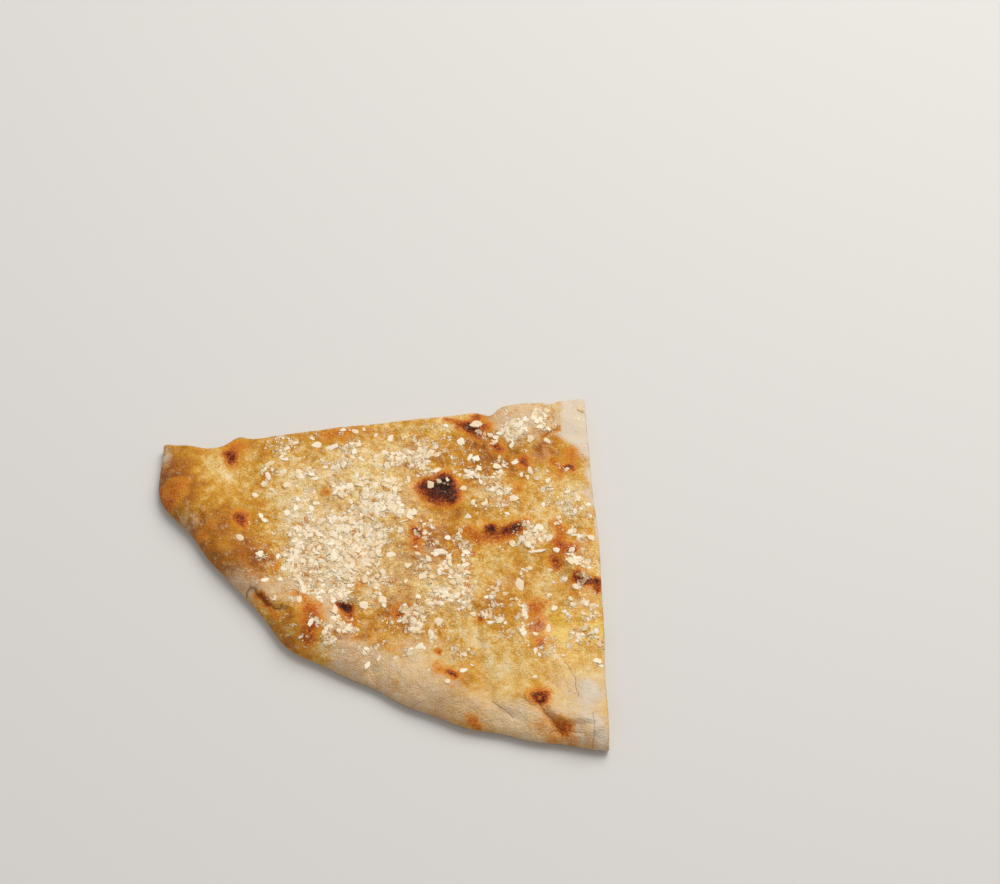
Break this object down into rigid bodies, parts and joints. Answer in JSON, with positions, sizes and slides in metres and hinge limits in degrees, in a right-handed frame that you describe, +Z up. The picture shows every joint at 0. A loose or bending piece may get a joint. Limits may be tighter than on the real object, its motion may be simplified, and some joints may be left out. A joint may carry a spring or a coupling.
{
  "type": "focaccia slice",
  "caption": "Quarter slice of thin round focaccia with a blistered, oven-browned top, puffed crust rim, straight cut faces, a flat underside and grated hard cheese baked on.",
  "frame": {"origin": "on the surface it lies on, under the middle of its bounding box", "axes": "+Z up out of the browned top; the pointed tip is towards +X and +Y, the round crust towards -X and -Y, the longer cut runs along -X and the shorter one along -Y"},
  "size_m": [0.158, 0.1386, 0.0117],
  "materials": {
    "crust": "baked dough skin, golden with scorched blisters, floury at the rim, oily in places",
    "crumb": "pale, dry, torn and cut bread crumb with small air pockets",
    "cheese": "ivory grated hard cheese, dull, slightly waxy, with toasted tips"
  },
  "bodies": {
    "root": {"focaccia_slice": "crust"}
  },
  "joints": []
}
